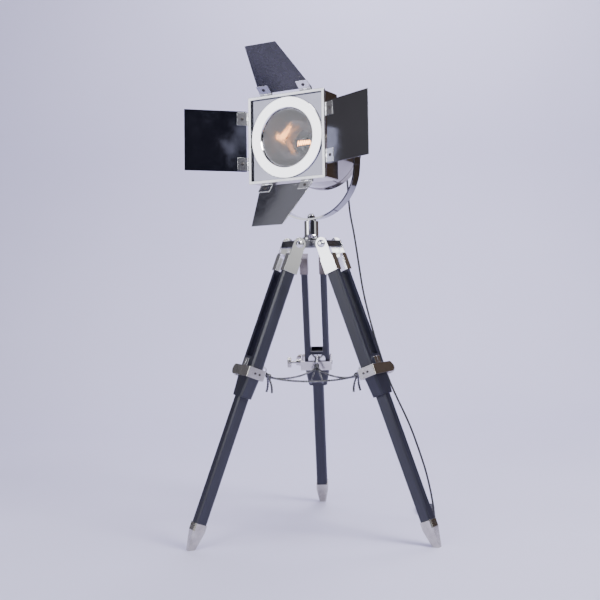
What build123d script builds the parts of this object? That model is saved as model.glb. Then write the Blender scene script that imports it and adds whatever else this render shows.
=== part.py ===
from build123d import *
from math import atan2, cos, degrees, hypot, radians, sin, sqrt, tan
import os

# Tripod floor lamp: a barn-door spotlight on a yoke, over three folding telescopic legs.
# The origin is on the floor, under the stem. +Z is up and the rear leg lies along +Y.
# All sizes are in millimetres.

os.makedirs("parts", exist_ok=True)

# ---------------------------------------------------------------- tripod: driving sizes
pivot_height = 673.0          # leg pivot bolts above the floor
pivot_radius = 47.0           # leg pivot bolts from the stem's axis
foot_radius = 314.0           # foot centres from the stem's axis
leg_azimuths = {"left": 210.0, "right": 330.0, "rear": 90.0}
thumb_sides = {"left": -1, "right": 1, "rear": 1}   # side of the leg that the thumbscrew is on

rail_width = 15.0             # one wooden rail, across the leg
rail_depth = 30.0             # one wooden rail, inwards from the outer face
rail_gap = 31.0               # slot between the two rails
rail_chamfer = 4.0
rail_top = 32.0               # end of the wood, below the pivot, along the leg
slot_end = 277.0              # bottom of the slot, below the pivot
collar_top = 325.0            # where the wooden collar starts to taper
collar_end = 371.0
collar_end_width = 45.5
bar_width = 27.0              # sliding lower bar
bar_depth = 26.0
bar_chamfer = 3.0
bar_top = 284.0               # top end of the lower bar at rest
bar_clearance = 0.3           # between the lower bar and its hole in the block

foot_length = 60.0
foot_straight = 17.0          # parallel part of the ferrule
foot_wall = 1.5
foot_tip = 14.0               # side of the small flat tip

fork_wall = 2.0               # chrome straps and end caps
wood_clearance = 0.1
cap_top = 29.0                # top of the end cap, below the pivot
cap_end = 70.0
lug_clearance = 0.3
pivot_bolt_radius = 4.0
running_clearance = 0.05
dome_radius = 8.85
dome_height = 7.0

hub_thickness = 17.0
hub_reach = 57.0              # lug's outer end from the stem's axis
hub_boss_radius = 24.0
hub_boss_height = 4.0

clamp_centre = 313.0          # below the pivot, along the leg
clamp_height = 24.0
clamp_depth = 44.0
clamp_wall = 3.0
clamp_plate_side = 36.0       # outer face of the screwed side from the leg's axis
clamp_thumb_side = 41.0       # outer face of the thumbscrew side
clamp_ear_reach = 54.0        # round end of the outer ear
thumb_boss_radius = 9.0
thumb_boss_length = 12.0
thumb_shank_radius = 3.0
thumb_shank_length = 24.0
thumb_head_radius = 13.0
thumb_head_length = 9.5
clamp_screw_radius = 2.6
clamp_screw_pitch = 11.0

shoe_gap = 0.2                # clearance of the pressure shoes in the clamp
shoe_top = 283.0
shoe_inner_width = 42.0
shoe_outer_width = 24.0
eye_ring_radius = 6.0
eye_wire_radius = 1.5
eye_shank_radius = 2.2
eye_reach = 30.0              # eye centre from the leg's axis, inwards
eye_drop = 297.5              # eye centre below the pivot, along the leg

spreader_radius = 2.1
spreader_sag = 11.0
spreader_drop = 6.1           # wire's end below the middle of its eye
spreader_side = 5.4           # and towards the other leg

# ---------------------------------------------------------------- stem and yoke
stem_radius = 17.0
stem_bore = 13.5
stem_top = 727.0
stem_cap = 6.0
skirt_radius = 22.5
skirt_height = 10.0
washer_thickness = 2.0
washer_radius = 12.0
pan_bolt_radius = 4.0
pan_nut_radius = 9.0
pan_nut_height = 11.0

tilt_height = 907.0           # tilt axis above the floor
yoke_inner_radius = 121.0
yoke_thickness = 4.0
yoke_width = 26.0
yoke_eye_radius = 22.0
yoke_taper = 60.0             # height over which each arm widens to its eye
tilt_stud_radius = 5.0
tilt_knob_radius = 17.0
tilt_knob_length = 21.0
knob_flutes = 12

# ---------------------------------------------------------------- lamp head
head_pan = -27.0              # degrees about +Z, from facing -Y
head_tilt = 3.4               # degrees, nose up
head_roll = 1.7               # degrees, the yoke bolted off its middle, right side up
head_front = 104.5            # tilt axis to the front of the door frame
frame_side = 200.0
frame_bar = 6.5
frame_depth = 6.0
box_side = 196.0
box_wall = 1.2
box_end = 64.0                # back of the square box, behind the door frame's front
drum_radius = 97.0
drum_end = 187.0
drum_wall = 1.2
bead_radius = 3.0
bead_places = (170.0, 180.0)
cover_dome = 10.0
vent_slots = 10
vent_ring = 62.0
ring_outer = 92.5
ring_inner = 66.7
ring_thickness = 4.0
ring_setback = 2.2            # ring's front behind the door frame's front
glass_thickness = 4.0
plate_thickness = 1.5
plate_hole = 70.0
reflector_mouth = 64.0
reflector_depth = 62.0
reflector_wall = 1.0
bulb_radius = 30.0
bulb_centre = 92.0            # centre of the bulb behind the door frame's front
bulb_neck = 17.0
base_radius = 13.3
base_length = 26.0
holder_radius = 20.0
gland_side = 22.0             # cord gland, to the right of the head's middle
gland_drop = 40.0
gland_radius = 7.0
gland_length = 24.0

# ---------------------------------------------------------------- barn doors
sheet_thickness = 1.2
hinge_offset = 3.4            # hinge pin outside the door frame
pin_radius = 1.4
knuckle_radius = 2.8
hinge_length = 30.0
hinge_half_pitch = 52.0
knuckle_gap = 0.3
leaf_reach = 25.0
leaf_thickness = 1.0
door_specs = {                # length, half width at the hinge, half width at the tip, opened angle
    "top": (135.0, 69.0, 39.3, 51.5),
    "bottom": (135.0, 69.0, 39.3, 39.7),
    "left": (146.0, 70.0, 70.0, 44.0),
    "right": (146.0, 70.0, 70.0, 23.5),
}
door_turns = {"right": 0.0, "top": 90.0, "left": 180.0, "bottom": 270.0}

# ---------------------------------------------------------------- mains cord
cord_radius = 2.4
cord_length = 1.8             # metres, all of it
hank_box = (44.0, 94.0, 16.0)
hank_turn = 19.0              # radius of the hank's outer turns
hank_place = (264.0, 132.0)   # middle of its front end
plug_size = (20.0, 34.0, 15.0)
plug_relief = 22.0
plug_entry_height = 12.6      # where the flex enters it, over the hank's lower turns
plug_pin_length = 18.0
plug_pin_pitch = 12.7
floor_clearance = 0.1

leg_run = foot_radius - pivot_radius
leg_length = hypot(leg_run, pivot_height)
leg_angle = atan2(leg_run, pivot_height)
rail_half = rail_gap / 2 + rail_width
fork_outer = rail_half + wood_clearance + fork_wall
hub_low = pivot_height - hub_thickness / 2
hub_top = pivot_height + hub_thickness / 2


def write(name, *solids):
    """Write one node: a group of solids that belong together."""
    flat = [s for item in solids for s in (item.solids() if hasattr(item, "solids") else item)]
    export_step(Compound(label=name, children=flat), f"parts/{name}.step")


def block(x, y, z):
    """A box between three pairs of limits."""
    low = (min(x), min(y), min(z))
    size = [abs(b - a) for a, b in (x, y, z)]
    return Pos(*low) * Box(*size, align=(Align.MIN, Align.MIN, Align.MIN))


def rod(radius, start, end):
    """A round rod between two points."""
    axis = Vector(*end) - Vector(*start)
    place = Plane(origin=start, z_dir=axis)
    return place * Cylinder(radius, axis.length, align=(Align.CENTER, Align.CENTER, Align.MIN))


def turned(profile, place):
    """Turn an outline of (radius, height) points about the place's own Z axis."""
    face = make_face(Polyline(*[(r, 0, h) for r, h in profile], close=True))
    return place * revolve(face, Axis.Z)


def along_edges(shape, axis, distance):
    """Chamfer the long outer edges that run along an axis."""
    return chamfer(shape.edges().filter_by(axis), distance)


def fluted(radius, length, count, depth, place):
    """A round grip with grooves along it, standing on the place."""
    grip = Cylinder(radius, length, align=(Align.CENTER, Align.CENTER, Align.MIN))
    grip = chamfer(grip.edges(), 0.8)
    for turn in range(count):
        groove = Pos(radius + depth, 0, 0) * Cylinder(2 * depth, 3 * length)
        grip -= Rot(0, 0, turn * 360 / count) * groove
    return place * grip


# ---------------------------------------------------------------- leg, in its own frame
# The leg frame starts at the pivot: Z runs up the leg, X outwards and Y across it.

def leg_place(azimuth):
    a = radians(azimuth)
    origin = (pivot_radius * cos(a), pivot_radius * sin(a), pivot_height)
    outwards = (cos(leg_angle) * cos(a), cos(leg_angle) * sin(a), sin(leg_angle))
    upwards = (-sin(leg_angle) * cos(a), -sin(leg_angle) * sin(a), cos(leg_angle))
    return Plane(origin=origin, x_dir=outwards, z_dir=upwards)


def leg_rails():
    """Two rails and the block that joins them, which the lower bar slides through."""
    half_depth = rail_depth / 2
    body = block((-half_depth, half_depth), (-rail_half, rail_half), (-collar_top, -rail_top))
    body = along_edges(body, Axis.Z, rail_chamfer)
    body -= block((-rail_depth, rail_depth), (-rail_gap / 2, rail_gap / 2), (-slot_end, 0))
    upper = Pos(0, 0, -collar_top) * Rectangle(rail_depth, 2 * rail_half)
    lower = Pos(0, 0, -collar_end) * Rectangle(rail_depth, collar_end_width)
    upper = chamfer(upper.vertices(), rail_chamfer)
    lower = chamfer(lower.vertices(), rail_chamfer)
    body += loft([upper.face(), lower.face()])
    hole_x = bar_depth / 2 + bar_clearance
    hole_y = bar_width / 2 + bar_clearance
    body -= block((-hole_x, hole_x), (-hole_y, hole_y), (-collar_end - 1, -slot_end + 1))
    return body


def leg_fork():
    """A chrome end cap on each rail, with a strap up to the pivot bolt."""
    halves = []
    for side in (-1, 1):
        inner = rail_gap / 2 - wood_clearance - fork_wall
        wall_x = rail_depth / 2 + wood_clearance + fork_wall
        cap = block((-wall_x, wall_x), (side * inner, side * fork_outer), (-cap_end, -cap_top))
        top_corner = cap.edges().filter_by(Axis.X).sort_by(Axis.Z)[-2:]
        cap = chamfer(top_corner.sort_by(Axis.Y)[-1 if side > 0 else 0], 4.0)
        room_x = rail_depth / 2 + wood_clearance
        room_low = rail_gap / 2 - wood_clearance
        room_high = rail_half + wood_clearance
        cap -= block((-room_x, room_x), (side * room_low, side * room_high),
                     (-cap_end, -rail_top + wood_clearance))
        strap_low = rail_half + wood_clearance
        strap_x = rail_depth / 2
        strap = block((-strap_x, strap_x), (side * strap_low, side * fork_outer), (-cap_top - 8, 0))
        strap += rod(strap_x, (0, side * strap_low, 0), (0, side * fork_outer, 0))
        hole = pivot_bolt_radius + running_clearance
        half = cap + strap
        half -= rod(hole, (0, side * (strap_low - 1), 0), (0, side * (fork_outer + 1), 0))
        halves.append(half)
    return halves


def leg_clamp(side):
    """A flat-bar clamp around the block, with a threaded boss and an ear on the thumbscrew side."""
    low, high = -clamp_centre - clamp_height / 2, -clamp_centre + clamp_height / 2
    out_x = clamp_depth / 2
    in_x = out_x - clamp_wall
    plate_y, thumb_y = -side * clamp_plate_side, side * clamp_thumb_side
    band = block((-out_x, out_x), (plate_y, thumb_y), (low, high))
    band = fillet(band.edges().filter_by(Axis.Z), 2.0)
    band -= block((-in_x, in_x), (plate_y + side * clamp_wall, thumb_y - side * clamp_wall),
                  (low - 1, high + 1))
    ear_radius = clamp_height / 2
    ear_middle = side * (clamp_ear_reach - ear_radius)
    ear = block((in_x, out_x), (side * (clamp_thumb_side - 4), ear_middle), (low, high))
    ear += rod(ear_radius, (in_x, ear_middle, -clamp_centre), (out_x, ear_middle, -clamp_centre))
    boss_start = side * (clamp_thumb_side - 1)
    boss_end = side * (clamp_thumb_side + thumb_boss_length)
    boss = rod(thumb_boss_radius, (0, boss_start, -clamp_centre),
               (0, side * (clamp_thumb_side + 4), -clamp_centre))
    boss += rod(thumb_boss_radius - 1.5, (0, boss_start, -clamp_centre), (0, boss_end, -clamp_centre))
    band += ear + boss
    bore = thumb_shank_radius + running_clearance
    inside = side * (clamp_thumb_side - clamp_wall - 1)
    band -= rod(bore, (0, inside, -clamp_centre), (0, boss_end + side, -clamp_centre))
    return band


def clamp_screws(side):
    """Two pan-head screws in the clamp's screwed side."""
    face = -side * clamp_plate_side
    screws = []
    for turn in (-1, 1):
        x = turn * clamp_screw_pitch / 2 - 2
        head = rod(clamp_screw_radius, (x, face, -clamp_centre), (x, face - side * 1.4, -clamp_centre))
        head = chamfer(head.edges().sort_by(Axis.Y)[0 if side > 0 else -1], 0.6)
        head -= block((x - 3, x + 3), (face - side * 0.8, face - side * 2),
                      (-clamp_centre - 0.4, -clamp_centre + 0.4))
        screws.append(head)
    return screws


def thumbscrew(side):
    """A knurled screw whose tip stops just clear of the wooden block."""
    tip = side * (rail_half + 0.6)
    neck = side * (clamp_thumb_side + thumb_boss_length + thumb_shank_length - 12)
    screw = rod(thumb_shank_radius, (0, tip, -clamp_centre), (0, neck + side, -clamp_centre))
    place = Plane(origin=(0, neck, -clamp_centre), z_dir=(0, side, 0))
    return screw + fluted(thumb_head_radius, thumb_head_length, 24, 0.5, place)


def clamp_shoes():
    """Pressure shoes between the clamp and the block; the inner one carries the cord eye."""
    low = -clamp_centre - clamp_height / 2 + 1
    start = rail_depth / 2 + shoe_gap
    end = clamp_depth / 2 - clamp_wall - shoe_gap
    inner = block((-end, -start), (-shoe_inner_width / 2, shoe_inner_width / 2), (low, -shoe_top))
    corners = inner.edges().filter_by(Axis.X).sort_by(Axis.Z)[-2:]
    inner = fillet(corners, 12.0)
    outer = block((start, end), (-shoe_outer_width / 2, shoe_outer_width / 2), (low, -shoe_top))
    outer = fillet(outer.edges().filter_by(Axis.X).sort_by(Axis.Z)[-2:], 3.0)
    outer -= block((end - 2, end + 1), (-1.5, 1.5), (-clamp_centre + clamp_height / 2 + 2, -shoe_top + 1))
    ring = Pos(-eye_reach, 0, -eye_drop) * Rot(90, 0, 0) * Torus(eye_ring_radius, eye_wire_radius)
    shank_end = -eye_reach + eye_ring_radius - eye_wire_radius / 2
    shank_z = -eye_drop
    ring += rod(eye_shank_radius, (-end + 1, 0, shank_z), (shank_end, 0, shank_z))
    return [inner + ring, outer]


def lower_bar():
    """The bar that slides out of the block, as far as the ferrule's inner end."""
    low = -leg_length + foot_length - foot_straight + 2
    bar = block((-bar_depth / 2, bar_depth / 2), (-bar_width / 2, bar_width / 2), (low, -bar_top))
    return along_edges(bar, Axis.Z, bar_chamfer)


def foot_at(azimuth):
    """A tapered ferrule around the bar's end, cut off level with the floor."""
    outer_x = bar_depth + 2 * (wood_clearance + foot_wall)
    outer_y = bar_width + 2 * (wood_clearance + foot_wall)
    top = -leg_length + foot_length
    bend = top - foot_straight
    sleeve = block((-outer_x / 2, outer_x / 2), (-outer_y / 2, outer_y / 2), (bend, top))
    sleeve = along_edges(sleeve, Axis.Z, bar_chamfer)
    wide = chamfer((Pos(0, 0, bend) * Rectangle(outer_x, outer_y)).vertices(), bar_chamfer)
    tip = chamfer((Pos(0, 0, -leg_length - 6) * Rectangle(foot_tip, foot_tip)).vertices(), 2.0)
    foot = sleeve + loft([wide.face(), tip.face()])
    room_x = bar_depth / 2 + wood_clearance
    room_y = bar_width / 2 + wood_clearance
    room = along_edges(block((-room_x, room_x), (-room_y, room_y), (bend + 2, top + 1)), Axis.Z, bar_chamfer)
    foot = leg_place(azimuth) * (foot - room)
    reach = foot_radius + 60
    return foot - block((-reach, reach), (-reach, reach), (-60, 0))


for leg, azimuth in leg_azimuths.items():
    place = leg_place(azimuth)
    side = thumb_sides[leg]
    write(f"leg_{leg}_rails", place * leg_rails())
    write(f"leg_{leg}_fork", *[place * half for half in leg_fork()])
    write(f"leg_{leg}_clamp", place * leg_clamp(side))
    write(f"leg_{leg}_clamp_screws", *[place * screw for screw in clamp_screws(side)])
    write(f"leg_{leg}_thumbscrew", place * thumbscrew(side))
    write(f"leg_{leg}_shoes", *[place * shoe for shoe in clamp_shoes()])
    write(f"leg_{leg}_lower_bar", place * lower_bar())
    write(f"leg_{leg}_foot", foot_at(azimuth))


# ---------------------------------------------------------------- hub, stem and bolts

def hub():
    """A cast hub with three wide lugs, one between each leg's straps."""
    half_lug = rail_half + wood_clearance - lug_clearance
    body = Pos(0, 0, hub_low) * Cylinder(
        hub_boss_radius + 8, hub_thickness, align=(Align.CENTER, Align.CENTER, Align.MIN))
    for azimuth in leg_azimuths.values():
        lug = block((0, hub_reach), (-half_lug, half_lug), (hub_low, hub_top))
        outer = lug.edges().filter_by(Axis.Y).sort_by(Axis.X)[-2:]
        lug = fillet(outer, 3.0)
        lug -= rod(pivot_bolt_radius, (pivot_radius, -40, pivot_height), (pivot_radius, 40, pivot_height))
        body += Rot(0, 0, azimuth) * lug
    for azimuth in leg_azimuths.values():
        hole = rod(pivot_bolt_radius, (pivot_radius, -40, pivot_height), (pivot_radius, 40, pivot_height))
        body -= Rot(0, 0, azimuth) * hole
    body += Pos(0, 0, hub_top) * Cylinder(
        hub_boss_radius, hub_boss_height, align=(Align.CENTER, Align.CENTER, Align.MIN))
    return body


def pivot_bolts():
    """One bolt through each lug, with a dome at each end."""
    bolts = []
    shank_end = fork_outer + running_clearance
    for azimuth in leg_azimuths.values():
        bolt = rod(pivot_bolt_radius, (pivot_radius, -shank_end, pivot_height),
                   (pivot_radius, shank_end, pivot_height))
        for side in (-1, 1):
            seat = side * shank_end
            collar = rod(dome_radius, (pivot_radius, seat, pivot_height),
                         (pivot_radius, seat + side * 2, pivot_height))
            dome = rod(dome_radius, (pivot_radius, seat, pivot_height),
                       (pivot_radius, seat + side * dome_height, pivot_height))
            bolt += collar + fillet(dome.edges().sort_by(Axis.Y)[-1 if side > 0 else 0], dome_height - 1)
        bolts.append(Rot(0, 0, azimuth) * bolt)
    return bolts


stem_foot = hub_top + hub_boss_height
skirt_profile = [
    (stem_bore, stem_foot), (skirt_radius, stem_foot), (skirt_radius, stem_foot + 2),
    (stem_radius + 1, stem_foot + skirt_height - 3), (stem_radius, stem_foot + skirt_height),
    (stem_radius, stem_top), (pan_bolt_radius + running_clearance, stem_top),
    (pan_bolt_radius + running_clearance, stem_top - stem_cap), (stem_bore, stem_top - stem_cap),
]
upright = Plane.XY
yoke_bottom = stem_top + washer_thickness
yoke_top = yoke_bottom + yoke_thickness
seat_rise = yoke_inner_radius - sqrt(yoke_inner_radius ** 2 - pan_nut_radius ** 2)
pan_seat = yoke_top + seat_rise + 0.1     # the nut rests on the strap's curved inside
washer = Pos(0, 0, stem_top) * Cylinder(
    washer_radius, washer_thickness, align=(Align.CENTER, Align.CENTER, Align.MIN))
washer -= rod(pan_bolt_radius + running_clearance, (0, 0, stem_top - 1), (0, 0, stem_top + 5))
pan_bolt = rod(pan_bolt_radius, (0, 0, stem_top - stem_cap - 12), (0, 0, pan_seat + 1))
nut = Pos(0, 0, pan_seat) * extrude(RegularPolygon(pan_nut_radius, 6), pan_nut_height - 5)
cap_nut = rod(pan_nut_radius - 2, (0, 0, pan_seat), (0, 0, pan_seat + pan_nut_height))
cap_nut = fillet(cap_nut.edges().sort_by(Axis.Z)[-1], 4.0)
lock_nut = Pos(0, 0, stem_top - stem_cap - 6) * extrude(RegularPolygon(pan_nut_radius, 6), 6)

write("hub", hub())
write("leg_pivot_bolts", *pivot_bolts())
write("stem", turned(skirt_profile, upright))
write("pan_bolt", pan_bolt + nut + cap_nut + lock_nut, washer)


# ---------------------------------------------------------------- yoke, turned about the stem
yoke_outer_radius = yoke_inner_radius + yoke_thickness
yoke_centre = yoke_bottom + yoke_outer_radius
pan_place = Rot(0, 0, head_pan)
roll_place = Pos(0, 0, yoke_centre) * Rot(0, -head_roll, 0) * Pos(0, 0, -yoke_centre)


def yoke():
    """A flat strap bent to a half circle, with straight arms that widen to the tilt eyes."""
    half = yoke_width / 2
    strap = Pos(0, 0, yoke_centre) * Rot(90, 0, 0) * Cylinder(yoke_outer_radius, yoke_width)
    strap -= Pos(0, 0, yoke_centre) * Rot(90, 0, 0) * Cylinder(yoke_inner_radius, 2 * yoke_width)
    reach = 2 * yoke_outer_radius
    strap -= block((-reach, reach), (-reach, reach), (yoke_centre, yoke_centre + reach))
    for side in (-1, 1):
        inner, outer = side * yoke_inner_radius, side * yoke_outer_radius
        strap += block((inner, outer), (-half, half), (yoke_centre - 0.01, tilt_height))
        eye_half = yoke_eye_radius
        flare = make_face(Polyline(
            (inner, -half, tilt_height - yoke_taper), (inner, half, tilt_height - yoke_taper),
            (inner, eye_half, tilt_height), (inner, -eye_half, tilt_height), close=True))
        strap += extrude(flare, amount=yoke_thickness, dir=(side, 0, 0))
        strap += rod(yoke_eye_radius, (inner, 0, tilt_height), (outer, 0, tilt_height))
        hole = tilt_stud_radius + running_clearance
        strap -= rod(hole, (inner - side, 0, tilt_height), (outer + side, 0, tilt_height))
    strap = roll_place * strap
    hole = pan_bolt_radius + running_clearance
    strap -= rod(hole, (0, 0, yoke_bottom - 1), (0, 0, yoke_top + 5))
    return strap


def tilt_knob(side):
    """A fluted clamping knob on one end of the tilt axis."""
    start = side * (yoke_outer_radius + 0.3)
    place = Plane(origin=(start, 0, tilt_height), z_dir=(side, 0, 0))
    grip = fluted(tilt_knob_radius, tilt_knob_length, knob_flutes, 1.2, place)
    bore_end = start + side * (tilt_knob_length - 5)
    bore = tilt_stud_radius + running_clearance
    return grip - rod(bore, (start - side, 0, tilt_height), (bore_end, 0, tilt_height))


write("yoke", pan_place * yoke())
write("tilt_knob_left", pan_place * roll_place * tilt_knob(-1))
write("tilt_knob_right", pan_place * roll_place * tilt_knob(1))


# ---------------------------------------------------------------- head, about the tilt axis
# The head frame starts on the tilt axis: X to the right, Y to the back, Z up.
head_place = pan_place * roll_place * Pos(0, 0, tilt_height) * Rot(-head_tilt, 0, 0)
front = -head_front


def behind(distance):
    """Place on the head's axis, facing backwards, at a distance behind the door frame's front."""
    return Plane(origin=(0, front + distance, 0), x_dir=(1, 0, 0), z_dir=(0, 1, 0))


def door_frame():
    """A square bar frame with the fixed hinge knuckles along its four sides."""
    half = frame_side / 2
    bars = block((-half, half), (front, front + frame_depth), (-half, half))
    bars = fillet(bars.edges().filter_by(Axis.Y), 2.5)
    clear = half - frame_bar
    bars -= block((-clear, clear), (front - 1, front + frame_depth + 1), (-clear, clear))
    for turn in door_turns.values():
        for middle in (-hinge_half_pitch, hinge_half_pitch):
            bars += Rot(0, turn, 0) * fixed_knuckles(middle)
    return bars


pin_line = frame_side / 2 + hinge_offset
pin_depth = front + frame_depth / 2
third = hinge_length / 3


def fixed_knuckles(middle):
    """The two outer knuckles of one hinge and the web that holds them to the frame."""
    pieces = None
    for end in (-1, 1):
        a = middle + end * third / 2
        b = middle + end * hinge_length / 2
        knuckle = rod(knuckle_radius, (pin_line, pin_depth, a), (pin_line, pin_depth, b))
        web = block((frame_side / 2 - 1, pin_line), (pin_depth + 0.6, pin_depth + knuckle_radius), (a, b))
        piece = knuckle + web
        piece -= rod(pin_radius, (pin_line, pin_depth, a - 30), (pin_line, pin_depth, a + 30))
        pieces = piece if pieces is None else pieces + piece
    return pieces


def hinge_pins():
    pins = []
    for turn in door_turns.values():
        for middle in (-hinge_half_pitch, hinge_half_pitch):
            reach = hinge_length / 2 + 0.6
            pin = rod(pin_radius, (pin_line, pin_depth, middle - reach),
                      (pin_line, pin_depth, middle + reach))
            pins.append(Rot(0, turn, 0) * pin)
    return pins


def front_box():
    """The square sheet-metal box, open at the front, with a round hole for the drum."""
    half = box_side / 2
    start, end = front + frame_depth, front + box_end
    shell = block((-half, half), (start, end), (-half, half))
    shell = fillet(shell.edges().filter_by(Axis.Y), 3.0)
    room = half - box_wall
    shell -= block((-room, room), (start - 1, end - box_wall), (-room, room))
    shell -= rod(drum_radius - 6, (0, end - 10, 0), (0, end + 10, 0))
    return shell


def rear_drum():
    """The round rear body, with two raised beads and its mouth against the box's back."""
    start, end = box_end, drum_end
    profile = [(drum_radius - drum_wall, start), (drum_radius, start)]
    for bead in bead_places:
        profile += [(drum_radius, bead - bead_radius), (drum_radius + bead_radius, bead)]
        profile += [(drum_radius, bead + bead_radius)]
    profile += [(drum_radius, end), (drum_radius - drum_wall, end)]
    return turned(profile, behind(0))


def back_cover():
    """A shallow domed cover with a ring of cooling slots and the gland's hole."""
    edge = drum_radius - drum_wall - 0.1
    step = 2.0
    profile = [
        (0, drum_end - step + cover_dome), (edge * 0.55, drum_end - step + cover_dome * 0.75),
        (edge, drum_end - step), (edge, drum_end - step - 8), (edge - 1.5, drum_end - step - 8),
        (edge - 1.5, drum_end - step - 1.5), (edge * 0.55, drum_end - step + cover_dome * 0.75 - 1.5),
        (0, drum_end - step + cover_dome - 1.5)]
    cover = turned(profile, behind(0))
    for turn in range(vent_slots):
        slot = block((vent_ring - 9, vent_ring + 9),
                     (front + drum_end - 20, front + drum_end + 20), (-2.5, 2.5))
        cover -= Rot(0, (turn + 0.5) * 360 / vent_slots, 0) * slot
    hole = rod(gland_radius - 2, (gland_side, 60, -gland_drop), (gland_side, 140, -gland_drop))
    seat = front + drum_end + 2
    hole += rod(gland_radius, (gland_side, seat, -gland_drop), (gland_side, seat + 20, -gland_drop))
    return cover - hole


def cord_gland():
    """The tapered strain relief that the cord leaves the head by."""
    seat = drum_end + 2
    profile = [(cord_radius + 0.1, seat), (gland_radius, seat), (gland_radius, seat + 5),
               (gland_radius - 2, seat + 6), (cord_radius + 1.0, seat + gland_length),
               (cord_radius + 0.1, seat + gland_length)]
    boot = turned(profile, behind(0))
    return Pos(gland_side, 0, -gland_drop) * boot


def face_plate():
    """The square plate behind the lens ring."""
    half = box_side / 2 - box_wall - 0.1
    start = front + ring_setback + ring_thickness
    plate = block((-half, half), (start, start + plate_thickness), (-half, half))
    plate = fillet(plate.edges().filter_by(Axis.Y), 2.0)
    return plate - rod(plate_hole, (0, start - 1, 0), (0, start + 5, 0))


def lens_ring():
    """The wide flat ring that holds the glass, bevelled towards it."""
    s = ring_setback
    e = s + ring_thickness
    profile = [(ring_inner + 2, s), (ring_outer - 1, s), (ring_outer, s + 1), (ring_outer, e),
               (ring_inner + 3.3, e), (ring_inner, e - 0.6), (ring_inner, e - 1.4)]
    return turned(profile, behind(0))


glass_front = ring_setback + ring_thickness
lens_profile = [(0, glass_front - 1.5), (ring_inner * 0.6, glass_front - 0.4),
                (ring_inner - 0.3, glass_front - 0.1), (ring_inner + 2.8, glass_front + 0.4),
                (ring_inner + 2.8, glass_front + glass_thickness - 0.5),
                (ring_inner - 1, glass_front + glass_thickness), (0, glass_front + glass_thickness)]
reflector_front = glass_front + glass_thickness + 0.3


def reflector():
    """A spun bowl behind the glass, with a hole for the bulb's neck."""
    def radius(fraction):
        return reflector_mouth * sqrt(fraction)
    outer = []
    inner = []
    neck_fraction = (holder_radius / reflector_mouth) ** 2
    steps = 8
    for i in range(steps + 1):
        fraction = 1 - (1 - neck_fraction) * i / steps
        depth = reflector_front + reflector_depth * 2 * (1 - fraction)
        outer.append((radius(fraction) + reflector_wall, depth))
        inner.append((radius(fraction), depth))
    flange = [(ring_inner + 2.8, reflector_front + reflector_wall), (ring_inner + 2.8, reflector_front)]
    return turned(flange + inner + outer[::-1], behind(0))


def bulb():
    """The glass envelope: a ball with a neck into the base."""
    glass = Pos(0, front + bulb_centre, 0) * Sphere(bulb_radius)
    neck_end = bulb_centre + bulb_radius + 14
    neck_profile = [(0, bulb_centre), (bulb_radius * 0.86, bulb_centre + bulb_radius * 0.5),
                    (bulb_neck, bulb_centre + bulb_radius + 4), (base_radius - 0.5, neck_end), (0, neck_end)]
    return glass + turned(neck_profile, behind(0))


base_start = bulb_centre + bulb_radius + 14
bulb_base = turned([(0, base_start), (base_radius, base_start), (base_radius, base_start + base_length - 6),
                    (6, base_start + base_length - 1), (0, base_start + base_length)], behind(0))
holder_end = drum_end - 3.5
holder_top = drum_end + cover_dome - 3.55
holder_rim = holder_top - cover_dome * 0.25 * holder_radius / (0.55 * (drum_radius - drum_wall - 0.1))
holder_profile = [
    (base_radius + 0.2, base_start + 3), (holder_radius, base_start + 3),
    (holder_radius, holder_end - 4), (holder_radius + 8, holder_end - 4), (holder_radius + 8, holder_end),
    (holder_radius, holder_end), (holder_radius, holder_rim), (0, holder_top),
    (0, base_start + base_length + 0.5), (base_radius + 0.2, base_start + base_length + 0.5)]


def tilt_bosses():
    """A boss on each side of the drum, with the stud that the yoke's eye turns on."""
    bosses = []
    boss_end = yoke_inner_radius - 0.3
    for side in (-1, 1):
        boss = rod(11.0, (side * (drum_radius - 12), 0, 0), (side * boss_end, 0, 0))
        boss += rod(15.0, (side * (drum_radius - 12), 0, 0), (side * (drum_radius + 3), 0, 0))
        stud_end = yoke_outer_radius + tilt_knob_length - 6
        boss += rod(tilt_stud_radius, (side * boss_end, 0, 0), (side * stud_end, 0, 0))
        drum_space = rod(drum_radius, (0, front + box_end - 20, 0), (0, front + drum_end, 0))
        bosses.append(boss - drum_space)
    return bosses


write("door_frame", head_place * door_frame())
write("hinge_pins", *[head_place * pin for pin in hinge_pins()])
write("front_box", head_place * front_box())
write("rear_drum", head_place * rear_drum())
write("back_cover", head_place * back_cover())
write("cord_gland", head_place * cord_gland())
write("face_plate", head_place * face_plate())
write("lens_ring", head_place * lens_ring())
write("lens_glass", head_place * turned(lens_profile, behind(0)))
write("reflector", head_place * reflector())
write("bulb", head_place * bulb())
write("bulb_base", head_place * bulb_base)
write("lamp_holder", head_place * turned(holder_profile, behind(0)))
write("tilt_bosses", *[head_place * boss for boss in tilt_bosses()])


# ---------------------------------------------------------------- barn doors
# Each door is drawn lying flat to the right of its pin, then swung forwards and turned to its side.

def door_place(name):
    opened = door_specs[name][3]
    swing = Pos(pin_line, pin_depth, 0) * Rot(0, 0, -opened)
    return head_place * Rot(0, -door_turns[name], 0) * swing


def door_sheet(name):
    """A thin sheet that starts clear of its hinge knuckles."""
    length, half_base, half_tip, opened = door_specs[name]
    start = knuckle_radius + knuckle_gap
    half = sheet_thickness / 2
    outline = make_face(Polyline(
        (start, half, -half_base), (length, half, -half_tip), (length, half, half_tip),
        (start, half, half_base), close=True))
    return extrude(outline, amount=sheet_thickness, dir=(0, -1, 0))


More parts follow.
